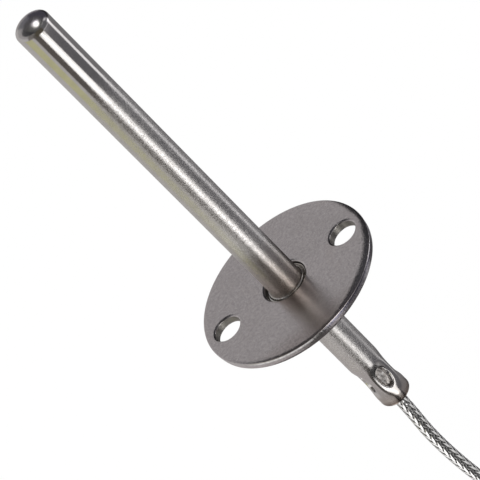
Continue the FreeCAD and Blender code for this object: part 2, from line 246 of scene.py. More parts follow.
def sheath_stations():
    """Outline of the tube, from its tip down the outside and up the inside: radius, z, crimped."""
    stations = []
    power = 2 / DOME_FULLNESS
    for lean in np.linspace(0, math.pi / 2, DOME_RINGS)[1:]:
        radius = TUBE_RADIUS * math.sin(lean) ** power
        stations.append((radius, DOME_BASE + DOME_HEIGHT * max(math.cos(lean), 0.0) ** power, False))
    heights = np.linspace(DOME_BASE - TOP_GAP, NECK_TOP, STRAIGHT_RINGS)
    stations += [(TUBE_RADIUS, z, False) for z in heights]
    for share in np.linspace(NECK_START, 1.0, NECK_RINGS):
        radius = TUBE_RADIUS + (TAIL_RADIUS - TUBE_RADIUS) * float(smooth_step(0, 1, share))
        stations.append((radius, NECK_TOP + (NECK_LOW - NECK_TOP) * share, False))
    top = CRIMP_CENTRE + CRIMP_REACH
    low = TAIL_END + MOUTH_ROUNDING
    stations += [(TAIL_RADIUS, z, False) for z in np.linspace(NECK_LOW - TAIL_GAP, top, TAIL_RINGS)]
    stations += [(TAIL_RADIUS, z, True) for z in np.arange(top - CRIMP_STEP, low, -CRIMP_STEP)]
    lip = TAIL_RADIUS - BORE_RADIUS
    for degrees in range(0, 91, 15):
        turn = math.radians(degrees)
        shrink = MOUTH_ROUNDING * (1 - math.cos(turn))
        stations.append((TAIL_RADIUS - shrink, low - MOUTH_ROUNDING * math.sin(turn), True))
    stations.append((BORE_RADIUS + (lip - MOUTH_ROUNDING) * MOUTH_FLAT, TAIL_END, True))
    for radius, z in (
        (BORE_RADIUS, TAIL_END + MOUTH_EASE),
        (BORE_RADIUS, THROAT_LOW - THROAT_EASE),
        (BORE_RADIUS - THROAT_EASE, THROAT_LOW),
        (THROAT_RADIUS + THROAT_EASE, THROAT_LOW),
        (THROAT_RADIUS, THROAT_LOW + THROAT_EASE),
        (THROAT_RADIUS, THROAT_TOP),
        (BORE_RADIUS, THROAT_TOP),
        (BORE_RADIUS, BORE_TOP),
    ):
        stations.append((radius, z, False))
    return stations


def build_sheath():
    """The tube as one closed mesh, from the middle of its tip to the end of its bore."""
    angles = around(TUBE_SIDES)
    points = [(0.0, 0.0, DOME_BASE + DOME_HEIGHT)]
    stations = sheath_stations()
    for radius, z, crimped in stations:
        reach = radius - TAIL_RADIUS + crimp_radius(angles, z) if crimped else radius
        points += [(x, y, z) for x, y in circle(reach, TUBE_SIDES)]
    points.append((0.0, 0.0, BORE_TOP))
    piece = mesh_object("probe_tube", points, tube_faces(len(stations), TUBE_SIDES, flip=True))
    piece.data.set_sharp_from_angle(angle=TUBE_SHARP)
    return piece


# Flange and weld


def flange_outline(rim, bore, screw):
    """Loops of a flat face of the flange: its rim, its bore and its two screw holes."""
    screws = [circle(screw, SCREW_SIDES, x) for x in (SCREW_PLACE, -SCREW_PLACE)]
    return [circle(rim, RIM_SIDES), circle(bore, BORE_SIDES), *screws]


def fill_between(loops):
    """Triangles inside the first loop and outside the others; loop points keep their order."""
    points = []
    edges = []
    for loop in loops:
        start = len(points)
        points += [Vector((float(x), float(y))) for x, y in loop]
        edges += [(start + i, start + (i + 1) % len(loop)) for i in range(len(loop))]
    found, _, triangles, origin, _, _ = delaunay_2d_cdt(points, edges, [], KEEP_INSIDE, MERGE_GAP)
    assert len(found) == len(points)
    order = [sources[0] for sources in origin]
    bore = loops[1][0][0]
    screw = loops[2][0][0] - SCREW_PLACE
    kept = []
    for triangle in triangles:
        middle = sum((found[i] for i in triangle), Vector((0, 0))) / 3
        in_bore = middle.length < bore
        in_screw = math.hypot(abs(middle.x) - SCREW_PLACE, middle.y) < screw
        if not in_bore and not in_screw:
            kept.append(tuple(order[i] for i in triangle))
    return kept


def rim_roll(angles):
    """Width and last slope of the rim's rolled front edge, which a worn punch left broad on one side."""
    away = np.abs((angles - BROAD_SIDE + math.pi) % TURN - math.pi)
    broad = 1 - smooth_step(BROAD_FULL, BROAD_GONE, away)
    width = NARROW_ROLL + (BROAD_ROLL - NARROW_ROLL) * broad
    from_hole = np.abs((angles + math.pi / 2) % math.pi - math.pi / 2)
    clear = smooth_step(HOLE_NEAR, HOLE_CLEAR, from_hole)
    width = clear * width + (1 - clear) * np.minimum(width, ROLL_BY_HOLES)
    return width, NARROW_LEAN + (BROAD_LEAN - NARROW_LEAN) * broad


def rolled_edge(width, lean):
    """Steps of a rolled edge, from the flat face outwards: how far out and how far down."""
    drop = np.tan(lean) * width / 2
    steps = [(width * share, drop * share**2) for share in np.linspace(0, 1, ROLL_STEPS)]
    for share in np.linspace(0, 1, ROLL_STEPS)[1:]:
        turn = lean + (math.pi / 2 - lean) * share
        out = width + EDGE_ROUNDING * (np.sin(turn) - np.sin(lean))
        steps.append((out, drop + EDGE_ROUNDING * (np.cos(lean) - np.cos(turn))))
    return steps


def build_flange():
    """The plate with rolled front edges, as a punched disc has, and a small burr behind."""
    rim = rolled_edge(*rim_roll(around(RIM_SIDES)))
    hole = rolled_edge(HOLE_ROLL, HOLE_LEAN)
    levels = []
    for (rim_out, rim_sink), (hole_out, hole_sink) in zip(rim, hole):
        levels.append((rim[-1][0] - rim_out, -rim_sink, hole[-1][0] - hole_out, -hole_sink))
    straight = float(np.max(rim[-1][1])) + EDGE_LAND
    levels.append((0.0, -straight, 0.0, -straight))
    for share in (0.33, 0.67, 1.0):
        depth = straight + (FLANGE_THICKNESS - BACK_EASE - straight) * share
        levels.append((SHEAR_TAPER * share, -depth, 0.0, -depth))
    for inset, widen, above in BACK_EDGE:
        levels.append((SHEAR_TAPER + inset, above - FLANGE_THICKNESS, widen, above - FLANGE_THICKNESS))
    points = []
    outlines = []
    for inset, rim_height, widen, hole_height in levels:
        loops = flange_outline(FLANGE_RADIUS - inset, FLANGE_BORE + widen, SCREW_RADIUS + widen)
        outlines.append(loops)
        for number, loop in enumerate(loops):
            heights = np.broadcast_to(rim_height if number == 0 else hole_height, len(loop))
            points += [(x, y, z) for (x, y), z in zip(loop, heights)]
    faces = []
    counts = [len(loop) for loop in outlines[0]]
    per_level = sum(counts)
    offset = 0
    for number, count in enumerate(counts):
        for level in range(len(levels) - 1):
            here = level * per_level + offset
            there = here + per_level
            for side in range(count):
                following = (side + 1) % count
                quad = (here + side, there + side, there + following, here + following)
                faces.append(quad if number == 0 else tuple(reversed(quad)))
        offset += count
    curved = len(faces)
    last = (len(levels) - 1) * per_level
    faces += fill_between(outlines[0])
    faces += [tuple(last + i for i in reversed(triangle)) for triangle in fill_between(outlines[-1])]
    piece = mesh_object("flange_plate", points, faces)
    smooth = [index < curved for index in range(len(piece.data.polygons))]
    piece.data.polygons.foreach_set("use_smooth", smooth)
    piece.data.set_sharp_from_angle(angle=FLANGE_SHARP)
    return piece


def build_weld():
    """The weld ring: a stepped root in front, and a rippled bead behind."""
    angles = around(WELD_SIDES)
    scales = BEAD_SCALE_HEIGHT * np.abs(np.sin(angles * BEAD_SCALES))
    ripple = scales + BEAD_SWAY_HEIGHT * np.sin(angles * BEAD_SWAYS + 1) - BEAD_MEAN
    filled = (1 + np.cos(angles - ROOT_FULL_SIDE)) / 2
    points = []
    for radius, z, lively, rise in WELD_SECTION:
        reach = radius + lively * ripple
        sink = 1 if z < -FLANGE_THICKNESS else ROOT_RIPPLE
        height = z - lively * ripple * sink + rise * filled
        points += [(x, y, z) for (x, y), z in zip(circle(reach, WELD_SIDES), height)]
    return mesh_object("weld_ring", points, ring_faces(len(WELD_SECTION), WELD_SIDES, closed=True, flip=True))


# Cable: the same route points as the solids, in millimetres

CABLE_ROUTE = [
    (0.0, 0.0, -22.7),
    (0.0, 0.0, -34.4),
    (-0.95, -0.1, -46.5),
    (0.4, 0.1, -64.0),
    (4.6, 1.6, -71.5),
]
TAIL_ROUTE = [
    (13.6, -3.1, -91.5),
    (14.2, -2.6, -120.5),
]
LEAD_RUNS = [(0.6, 0.0), (3.9, -32.6)]
COIL_HEIGHT = -86.0
COIL_RADIUS = 12.5
COIL_COLUMNS = (3.3, 1.1, -1.1, -3.3)
COIL_ROWS = (2.2, 0.0, -2.2)
COIL_START = 36.0
COIL_STOP = -8.0
COIL_STEP = 15.0
SHIFT_FROM = -80.0
SHIFT_SPAN = 75.0


def coil_slots():
    """Places of the turns in the bundle, in winding order: how far out from the middle, and y."""
    slots = []
    for index, column in enumerate(COIL_COLUMNS):
        rows = COIL_ROWS if index % 2 == 0 else COIL_ROWS[::-1]
        slots += [(row, column) for row in rows]
    return slots


def coil_points():
    """Control points of the turns, clockwise seen along +Y; each turn shifts to its next slot below."""
    slots = np.array(coil_slots())
    turns = len(slots) - 1
    travel = COIL_START - COIL_STOP + 360 * turns
    points = []
    for step in range(int(travel // COIL_STEP) + 1):
        degrees = COIL_START - step * COIL_STEP
        since = SHIFT_FROM - degrees
        passed = math.floor(since / 360)
        within = (since - passed * 360) / SHIFT_SPAN if passed >= 0 else 0.0
        low = min(max(passed, 0), turns - 1)
        share = float(smooth_step(0, 1, within))
        out, side = slots[low] + (slots[low + 1] - slots[low]) * share
        turn = math.radians(degrees)
        reach = COIL_RADIUS + out
        points.append((reach * math.cos(turn), side, COIL_HEIGHT + reach * math.sin(turn)))
    return points


def spline_curve(name, points, resolution):
    """A smooth spline whose control points are given in millimetres."""
    curve = bpy.data.curves.new(name, "CURVE")
    curve.dimensions = "3D"
    curve.resolution_u = resolution
    spline = curve.splines.new("NURBS")
    spline.points.add(len(points) - 1)
    for control, point in zip(spline.points, points):
        control.co = (point[0] * MM, point[1] * MM, point[2] * MM, 1.0)
    spline.order_u = min(3, len(points))
    spline.use_endpoint_u = True
    return curve


def smooth_line(points):
    """Points along such a spline, in millimetres."""
    curve = spline_curve("route", points, LINE_RESOLUTION)
    route = bpy.data.objects.new("route", curve)
    mesh = bpy.data.meshes.new_from_object(route)
    line = np.array([vertex.co for vertex in mesh.vertices], float) / MM
    bpy.data.meshes.remove(mesh)
    bpy.data.objects.remove(route)
    bpy.data.curves.remove(curve)
    return line


def sampled(values, places, chosen):
    """Values known at places along a line, read at the chosen places."""
    return np.stack([np.interp(chosen, places, values[:, axis]) for axis in range(3)], axis=1)


def evenly(line, step):
    """The line with evenly spaced points, and how far along it each of them lies."""
    lengths = np.concatenate([[0], np.cumsum(np.linalg.norm(np.diff(line, axis=0), axis=1))])
    places = np.linspace(0, lengths[-1], max(2, int(round(lengths[-1] / step)) + 1))
    return sampled(line, lengths, places), places


def carried_frames(line):
    """Two directions across the line at each point, carried along it without twist."""
    along = np.gradient(line, axis=0)
    along /= np.linalg.norm(along, axis=1)[:, None]
    first = np.zeros_like(line)
    start = np.array([1.0, 0.0, 0.0])
    for index, direction in enumerate(along):
        start = start - direction * (start @ direction)
        start = start / np.linalg.norm(start)
        first[index] = start
    return first, np.cross(along, first)


def add_wrap(piece, values):
    """Gives a piece of the cable its UV layer."""
    layer = piece.data.uv_layers.new(name="wrap")
    layer.data.foreach_set("uv", values)


def wrapped_tube(name, line, places, radii, sides):
    """A closed round tube along a line, with its length and turn as UV."""
    first, second = carried_frames(line)
    angles = around(sides)
    rings = (
        line[:, None, :]
        + radii[:, None, None] * np.cos(angles)[None, :, None] * first[:, None, :]
        + radii[:, None, None] * np.sin(angles)[None, :, None] * second[:, None, :]
    )
    points = [tuple(line[0])] + [tuple(point) for point in rings.reshape(-1, 3)] + [tuple(line[-1])]
    piece = mesh_object(name, points, tube_faces(len(line), sides))
    values = []
    for ring in range(len(line) - 1):
        low = places[ring] / LAY
        high = places[ring + 1] / LAY
        for side in range(sides):
            left = side / sides
            right = (side + 1) / sides
            values += [low, left, low, right, high, right, high, left]
    end_corners = 2 * 3 * sides
    add_wrap(piece, values + [0.0, 0.0] * end_corners)
    return piece


def strand_section():
    """Section of a flat bundle of wire: share of its half width, and height."""
    section = []
    for turn in np.linspace(math.pi, -math.pi, STRAND_PARTS, endpoint=False):
        fullness = 1.0 if math.sin(turn) > 0 else STRAND_UNDERSIDE
        section.append((math.cos(turn), STRAND_HEIGHT * math.sin(turn) * fullness))
    return section


def build_braid(name, line, places, start, stop):
    """Flat bundles of wire that cross over and under each other around the cable."""
    crossing = LAY / (2 * CARRIERS)
    chosen = np.arange(start, stop, crossing / STEPS_PER_CROSSING)
    count = len(chosen)
    middle, one, two = (sampled(values, places, chosen) for values in (line, *carried_frames(line)))
    half = math.pi * BRAID_RADIUS / CARRIERS * STRAND_FILL
    section = strand_section()
    points = []
    faces = []
    values = []
    for hand in (1, -1):
        for carrier in range(CARRIERS):
            turn = hand * chosen / LAY * TURN + carrier * TURN / CARRIERS
            phase = math.pi / 2 * (hand * chosen / crossing + 2 * carrier - 0.5)
            weave = hand * np.cos(phase + STRAND_SKEW * np.cos(phase))
            lift = STRAND_LIFT * weave
            # How high the strand lies, kept in its UV layer for the painted shade where it dips under.
            raised = (weave + 1) / 2
            begin = len(points)
            for spread, height in section:
                reach = BRAID_RADIUS - STRAND_HEIGHT - STRAND_LIFT + height + lift
                angle = turn + spread * half / BRAID_RADIUS
                out = (reach * np.cos(angle))[:, None] * one + (reach * np.sin(angle))[:, None] * two
                points += [tuple(point) for point in middle + out]
            for part in range(STRAND_PARTS):
                other = (part + 1) % STRAND_PARTS
                for step in range(count - 1):
                    a = begin + part * count + step
                    b = begin + other * count + step
                    faces.append((a, b, b + 1, a + 1))
                    low, high = raised[step], raised[step + 1]
                    values += [low, part, low, part + 1, high, part + 1, high, part]
            heads = [begin + part * count for part in range(STRAND_PARTS)]
            tails = [index + count - 1 for index in heads]
            faces += [tuple(reversed(heads)), tuple(tails)]
            values += [0.0, 0.0] * (2 * STRAND_PARTS)
    piece = mesh_object(name, points, faces)
    add_wrap(piece, values)
    return piece


# Far end of the cable

LEAD_RADIUS = 0.55
LEAD_RESOLUTION = 16
TIE_HALF_X = 3.75
TIE_HALF_Y = 4.85
TIE_CORNER = 1.6
TIE_WIDTH = 3.0
TIE_THICKNESS = 0.8
HEAD_BEVEL = 0.3
SLEEVE_SIDES = 64
SLEEVE_RISE = 4.0
SLEEVE_FLATTENED = 0.22
SLEEVE_NECK = (3.5, 6.5)

# Section of the strap: shares of its width and of its thickness
TIE_SECTION = [(-0.5, 0.0), (-0.5, 0.75), (-0.4, 1.0), (0.4, 1.0), (0.5, 0.75), (0.5, 0.0)]

# Outline of the end sleeve: radius, and how far down
SLEEVE_OUTLINE = [
    (1.12, 0.0), (1.5, 0.0), (1.66, 0.12), (1.7, 0.35), (1.68, 2.4), (1.7, 4.0), (1.62, 4.6),
    (1.5, 5.4), (1.46, 7.6), (1.44, 8.2), (1.3, 8.45), (0.9, 8.5), (0.7, 8.2),
]

# Wrinkles of the end sleeve: height, waves round it, and turn per millimetre down
SLEEVE_WRINKLES = ((0.02, 5, 1.3), (0.015, 3, -2.1))


def build_tie():
    """The tie's strap, of rounded section, round the bundle."""
    x = TIE_HALF_X - TIE_CORNER
    y = TIE_HALF_Y - TIE_CORNER
    loop = []
    for middle_x, middle_y, begin in ((x, y, 0), (-x, y, 90), (-x, -y, 180), (x, -y, 270)):
        for degrees in range(begin, begin + 91, 15):
            turn = math.radians(degrees)
            loop.append((middle_x, middle_y, math.cos(turn), math.sin(turn)))
    points = []
    for middle_x, middle_y, out_x, out_y in loop:
        for across, out in TIE_SECTION:
            reach = TIE_CORNER - TIE_THICKNESS / 2 + out * TIE_THICKNESS
            height = COIL_HEIGHT + across * TIE_WIDTH
            points.append((middle_x + out_x * reach - COIL_RADIUS, middle_y + out_y * reach, height))
    faces = ring_faces(len(loop), len(TIE_SECTION), closed=True, flip=True)
    return mesh_object("tie_strap", points, faces, smooth=False)


def build_tie_head():
    """The ratchet block of the tie with the strap's cut end standing out of it."""
    left = -COIL_RADIUS - TIE_HALF_X - TIE_THICKNESS / 2
    # The block, then the cut end: x from and to, y from and to, half of the height
    boxes = [
        (left - 2.0, left + 0.1, -2.0, 2.0, 1.95),
        (left - 1.5, left - 0.7, 2.0, 6.0, 1.5),
    ]
    points = []
    faces = []
    for x0, x1, y0, y1, half in boxes:
        begin = len(points)
        for z in (-half, half):
            for x, y in ((x0, y0), (x1, y0), (x1, y1), (x0, y1)):
                points.append((x, y, COIL_HEIGHT + z))
        for face in ((3, 2, 1, 0), (4, 5, 6, 7), (0, 1, 5, 4), (1, 2, 6, 5), (2, 3, 7, 6), (3, 0, 4, 7)):
            faces.append(tuple(begin + i for i in face))
    piece = mesh_object("tie_head", points, faces, smooth=False)
    bevel = piece.modifiers.new("soft edges", "BEVEL")
    bevel.width = HEAD_BEVEL * MM
    bevel.segments = 3
    return piece


def build_end_sleeve(top):
    """Shrunk sleeve: hugs the braid above and necks in over the two leads below."""
    angles = around(SLEEVE_SIDES)
    points = []
    for radius, down in SLEEVE_OUTLINE:
        flat = SLEEVE_FLATTENED * smooth_step(*SLEEVE_NECK, down)
        wrinkle = 0.0
        for height, waves, rate in SLEEVE_WRINKLES:
            wrinkle = wrinkle + height * np.sin(angles * waves + down * rate)
        x = top[0] + (radius + wrinkle) * np.cos(angles)
        y = top[1] + (radius * (1 - flat) + wrinkle) * np.sin(angles)
        points += list(zip(x, y, [top[2] - down] * SLEEVE_SIDES))
    return mesh_object("end_sleeve", points, ring_faces(len(SLEEVE_OUTLINE), SLEEVE_SIDES, flip=True))


def build_lead(name, points):
    """A round insulated lead along a spline."""
    curve = spline_curve(name, points, LEAD_RESOLUTION)
    curve.bevel_depth = LEAD_RADIUS * MM
    curve.bevel_resolution = 6
    curve.use_fill_caps = True
    return new_object(name, curve)


# Materials

# Where the tube's finish, its painted shade and its painted highlight change, in metres: none at the first
# value, full at the second
WORN_Z = (0.053, 0.046)
CRIMP_Z = (-0.0205, -0.0240)
DOME_SHADE_X = (-0.0018, 0.0004)
DOME_SHADE_Y = (-0.0021, -0.0012)
DOME_SHADE_Z = (0.0638, 0.0650)
FRONT_Z = (-0.0006, 0.0)
HEATED_Z = (0.0110, 0.0010)
NEAR_PLATE_Z = (0.017, 0.008)
HIGHLIGHT_LEFT_X = (-0.0010, -0.0002)
HIGHLIGHT_RIGHT_X = (0.0026, 0.0021)
REAR_Z = (-0.0290, -0.0325)
MOUTH_SHADE_Z = (-0.0311, -0.0320)
PRESSED_RADIUS = (0.00206, 0.00196)
PRESSED_Z = (-0.020, -0.022)
TAIL_Z = (-0.004, -0.008)
TIP_Z = (0.0641, 0.0647)

# The same for the flange, the last as the upright part of the normal
SHADED_RIM_SIDE = (0.0112, 0.0131)
LOW_FACE_Y = (-0.0110, -0.0145)
HOLE_WALL_RADIUS = (0.0152, 0.0149)
UPRIGHT = (0.2, 0.05)

# Painted shade lines in the weld root's grooves: radii, how far the shade reaches, and where it is painted
# dark or painted light
ROOT_SHADE_RADII = (0.00306, 0.00348, 0.00386)
ROOT_SHADE_REACH = (0.00008, 0.00003)
SHADED_ROOT_X = (-0.0014, 0.0006)
LIT_ROOT_X = (-0.0004, -0.0016)


class Nodes:
    """A material with one surface shader, and short ways to add nodes to it."""

    def __init__(self, name):
        self.material = bpy.data.materials.new(name)
        self.material.use_nodes = True
        self.tree = self.material.node_tree
        self.surface = self.tree.nodes["Principled BSDF"]

    def feed(self, socket, value):
        """Links another node's output to a socket, or sets a plain value on it."""
        if isinstance(value, bpy.types.NodeSocket):
            self.tree.links.new(value, socket)
        else:
            socket.default_value = value

    def add(self, kind, inputs=None, **settings):
        """A new node with its settings, and with its inputs by name or number."""
        node = self.tree.nodes.new(kind)
        for key, value in settings.items():
            setattr(node, key, value)
        for key, value in (inputs or {}).items():
            self.feed(node.inputs[key], value)
        return node

    def set(self, **values):
        """Feeds inputs of the surface shader."""
        for key, value in values.items():
            self.feed(self.surface.inputs[key.replace("_", " ")], value)
        return self

    def show(self, shader):
        """Makes this shader the one that is seen."""
        self.feed(self.tree.nodes["Material Output"].inputs["Surface"], shader)

    def place(self):
        return self.add("ShaderNodeTexCoord").outputs["Object"]

    def axes(self, vector):
        """The X, Y and Z of a vector."""
        split = self.add("ShaderNodeSeparateXYZ", {"Vector": vector})
        return [split.outputs[axis] for axis in "XYZ"]

    def wrap(self):
        """The two values of the cable's UV layer."""
        return self.axes(self.add("ShaderNodeUVMap", uv_map="wrap").outputs["UV"])[:2]

    def stretched(self, source, scale):
        return self.add("ShaderNodeMapping", {"Vector": source, "Scale": scale}).outputs["Vector"]

    def noise(self, source, scale, detail=2.0, rough=0.5):
        inputs = {"Vector": source, "Scale": scale, "Detail": detail, "Roughness": rough}
        return self.add("ShaderNodeTexNoise", inputs).outputs["Fac"]

    def math(self, operation, *values):
        return self.add("ShaderNodeMath", dict(enumerate(values)), operation=operation).outputs[0]

    def plus(self, first, second):
        return self.math("ADD", first, second)

    def minus(self, first, second):
        return self.math("SUBTRACT", first, second)

    def times(self, first, second):
        return self.math("MULTIPLY", first, second)

    def away(self, value, middle):
        """How far a value is from a middle one."""
        return self.math("ABSOLUTE", self.minus(value, middle))

    def radius(self, x, y):
        """Distance from the probe's axis."""
        return self.math("SQRT", self.plus(self.times(x, x), self.times(y, y)))

    def ramp(self, source, stops):
        node = self.add("ShaderNodeValToRGB", {"Fac": source})
        ramp = node.color_ramp
        while len(ramp.elements) < len(stops):
            ramp.elements.new(0.5)
        for element, (place, colour) in zip(ramp.elements, stops):
            element.position = place
            element.color = (*colour, 1.0)
        return node.outputs["Color"]

    def between(self, source, low, high, out_low, out_high):
        inputs = {"Value": source, "From Min": low, "From Max": high, "To Min": out_low, "To Max": out_high}
        return self.add("ShaderNodeMapRange", inputs).outputs["Result"]

    def mask(self, source, none, full):
        """Zero at the first value, one at the second, and a slope between them."""
        return self.between(source, none, full, 0.0, 1.0)

    def mix(self, share, first, second, **settings):
        inputs = {"Factor": share, "A": first, "B": second}
        return self.add("ShaderNodeMix", inputs, **settings).outputs["Result"]

    def tint(self, tone, share, colour):
        """The tone multiplied by a colour where the share is one."""
        return self.mix(share, tone, (*colour, 1.0), data_type="RGBA", blend_type="MULTIPLY")

    def bump(self, height, distance, strength):
        """Fine relief on the surface."""
        inputs = {"Height": height, "Distance": distance, "Strength": strength}
        self.set(Normal=self.add("ShaderNodeBump", inputs).outputs["Normal"])


def grey(level, warm=0.0):
    return (level * (1 + warm), level, level * (1 - warm))


def tube_steel():
    """Drawn and polished tube: mirror-like at the tip, finely pitted towards the flange and behind it;
    painted shade on the dome and round the mouth, and a painted highlight near the flange.
    """
    m = Nodes("tube_steel").set(Metallic=1.0)
    place = m.place()
    x, y, z = m.axes(place)
    wear = m.times(m.mask(z, *WORN_Z), m.between(z, *CRIMP_Z, 1.0, 0.06))
    pits = m.noise(place, 4600.0, 2.0, 0.6)
    clouds = m.noise(place, 700.0, 3.0)
    tone = m.ramp(clouds, [(0.3, (0.645, 0.63, 0.622)), (0.7, (0.71, 0.692, 0.685))])
    # Painted shade: a darker, bluish patch on the dome.
    dome_shade = m.times(m.times(m.mask(z, *DOME_SHADE_Z), m.mask(x, *DOME_SHADE_X)), m.mask(y, *DOME_SHADE_Y))
    tone = m.tint(tone, dome_shade, (0.80, 0.78, 0.86))
    in_front = m.mask(z, *FRONT_Z)
    tone = m.tint(tone, m.times(m.mask(z, *HEATED_Z), in_front), (0.86, 0.78, 0.72))
    near_plate = m.times(m.mask(z, *NEAR_PLATE_Z), in_front)
    # Painted highlight: the tube is lightened in a narrow strip near the flange.
    painted_highlight = m.times(m.mask(x, *HIGHLIGHT_LEFT_X), m.mask(x, *HIGHLIGHT_RIGHT_X))
    tone = m.tint(tone, m.times(near_plate, painted_highlight), (1.18, 1.18, 1.18))
    tone = m.tint(tone, m.mask(z, *REAR_Z), (0.88, 0.80, 0.74))
    # Painted shade: a dark ring round the mouth's rounded end.
    tone = m.tint(tone, m.mask(z, *MOUTH_SHADE_Z), (0.50, 0.46, 0.44))
    pressed = m.times(m.mask(m.radius(x, y), *PRESSED_RADIUS), m.mask(z, *PRESSED_Z))
    marks = m.between(m.noise(place, 1500.0, 2.0), 0.40, 0.60, 0.35, 1.0)
    m.set(Base_Color=m.tint(tone, m.times(pressed, marks), (0.52, 0.50, 0.48)))
    fine = m.noise(place, 15000.0, 1.0)
    grain = m.times(m.mask(pits, 0.40, 0.64), m.between(z, *TAIL_Z, 0.21, 0.30))
    dull = m.plus(m.between(fine, 0.45, 0.55, 0.0, 0.20), grain)
    rough = m.plus(m.times(wear, dull), m.between(z, *TIP_Z, 0.13, 0.20))
    rough = m.plus(rough, m.times(pressed, 0.07))
    m.set(Roughness=m.plus(rough, m.times(near_plate, 0.12)))
    m.set(Anisotropic=m.times(near_plate, 0.9), Anisotropic_Rotation=0.25)
    m.set(Tangent=m.add("ShaderNodeTangent", direction_type="RADIAL", axis="Z").outputs["Tangent"])
    m.bump(m.times(pits, m.plus(m.times(wear, 0.92), 0.08)), 0.00003, 0.4)
    return m.material


def flange_steel():
    """Satin plate, pickled, with fine speckle, faint stains and a streaky sheared side, with painted shade on
    part of that side and in the holes.
    """
    m = Nodes("flange_steel").set(Metallic=1.0)
    place = m.place()
    x, y, _ = m.axes(place)
    speckle = m.noise(place, 3400.0, 3.0, 0.65)
    stains = m.noise(place, 160.0, 4.0, 0.6)
    pale, clear, brown = (0.67, 0.638, 0.64), (0.712, 0.68, 0.685), (0.69, 0.65, 0.645)
    face = m.ramp(stains, [(0.3, pale), (0.55, clear), (0.75, brown)])
    grain = m.noise(place, 1900.0, 3.0, 0.7)
    face = m.tint(face, m.mask(grain, 0.40, 0.66), (0.82, 0.82, 0.825))
    # The face is darker towards its rim on the -Y side.
    face = m.tint(face, m.mask(y, *LOW_FACE_Y), (0.80, 0.765, 0.75))
    streaks = m.noise(m.stretched(place, (1.0, 1.0, 0.12)), 2600.0, 2.0)
    sheared = m.ramp(streaks, [(0.3, (0.52, 0.51, 0.52)), (0.65, (0.72, 0.71, 0.715))])
    slanted = m.times(m.minus(x, y), math.sqrt(0.5))
    # Painted shade: a dark bluish stretch of the rim's sheared side.
    sheared = m.tint(sheared, m.mask(slanted, *SHADED_RIM_SIDE), (0.33, 0.32, 0.40))
    # Painted shade: the walls of the bore and the screw holes are darkened.
    inner = m.mask(m.radius(x, y), *HOLE_WALL_RADIUS)
    sheared = m.tint(sheared, inner, (0.43, 0.42, 0.385))
    facing = m.axes(m.add("ShaderNodeTexCoord").outputs["Normal"])
    side = m.mask(m.math("ABSOLUTE", facing[2]), *UPRIGHT)
    m.set(Base_Color=m.mix(side, face, sheared, data_type="RGBA"))
    rough = m.plus(m.times(speckle, 0.08), 0.15)
    wall = m.times(side, m.between(inner, 0.0, 1.0, -0.03, 0.22))
    m.set(Roughness=m.plus(rough, wall))
    m.bump(m.plus(speckle, m.times(streaks, side)), 0.00005, 0.5)
    return m.material


def weld_metal():
    """Weld with warm patches, painted shade in the grooves of its root on one side and a painted highlight on
    the other.
    """
    m = Nodes("weld_metal").set(Metallic=1.0)
    place = m.place()
    x, y, _ = m.axes(place)
    patches = m.noise(place, 900.0, 3.0, 0.6)
    tone = m.ramp(patches, [(0.3, (0.48, 0.44, 0.39)), (0.5, (0.66, 0.63, 0.59)), (0.7, (0.58, 0.56, 0.55))])
    # Painted shade: dark lines in the root's grooves, on one side only.
    shaded_root = m.mask(x, *SHADED_ROOT_X)
    for middle in ROOT_SHADE_RADII:
        line = m.mask(m.away(m.radius(x, y), middle), *ROOT_SHADE_REACH)
        tone = m.tint(tone, m.times(line, shaded_root), (0.22, 0.20, 0.18))
    # Painted highlight: the other side of the weld is lightened.
    m.set(Base_Color=m.tint(tone, m.mask(x, *LIT_ROOT_X), (1.35, 1.40, 1.45)))
    m.set(Roughness=m.between(patches, 0.3, 0.7, 0.18, 0.34))
    m.bump(patches, 0.0001, 0.4)
    return m.material


def strand_steel():
    """Bundles of fine bright wire laid side by side, with painted shade where they dip under each other and
    along their edges.
    """
    m = Nodes("strand_steel").set(Metallic=1.0, Roughness=0.20)
    raised, across = m.wrap()
    from_middle = m.away(across, STRAND_PARTS / 4)
    edge = m.between(from_middle, STRAND_PARTS * 0.11, STRAND_PARTS * 0.24, 0.0, 0.5)
    # Painted shade: darker where the strand dips under and towards its edges.
    m.set(Base_Color=m.ramp(m.minus(raised, edge), [(0.0, grey(0.14)), (0.4, grey(0.56)), (0.8, grey(0.92))]))
    return m.material


def braid_steel():
    """The same braid as relief, for the coiled length: two hands of strands, over and under by turns, with
    painted shade in its hollows.
    """
    m = Nodes("braid_steel").set(Metallic=1.0)
    along, turned = m.wrap()
    right = m.times(m.minus(turned, along), CARRIERS)
    left = m.times(m.plus(turned, along), CARRIERS)
    humps = []
    for lane in (right, left):
        from_middle = m.away(m.math("FRACT", lane), 0.5)
        humps.append(m.minus(1.0, m.math("POWER", m.times(from_middle, 2.0), 2.0)))
    lanes = m.plus(m.math("FLOOR", right), m.math("FLOOR", left))
    over = m.math("GREATER_THAN", m.math("FLOORED_MODULO", lanes, 2.0), 0.5)
    height = m.mix(over, *humps)
    # Painted shade: darker in the hollows between the strands.
    m.set(Base_Color=m.ramp(height, [(0.0, grey(0.16)), (0.35, grey(0.5)), (1.0, grey(0.70))]))
    m.set(Roughness=m.between(height, 0.0, 1.0, 0.45, 0.24))
    m.bump(height, 0.00016, 0.8)
    return m.material


def plain_metal(name, low, high, rough, scale):
    """Small metal pieces: drawn or pressed, with slight mottling."""
    m = Nodes(name).set(Metallic=1.0)
    mottle = m.noise(m.place(), scale, 3.0)
    roughness = m.between(mottle, 0.3, 0.7, rough - 0.05, rough + 0.08)
    m.set(Base_Color=m.ramp(mottle, [(0.3, low), (0.7, high)]), Roughness=roughness)
    m.bump(mottle, 0.00004, 0.3)
    return m.material


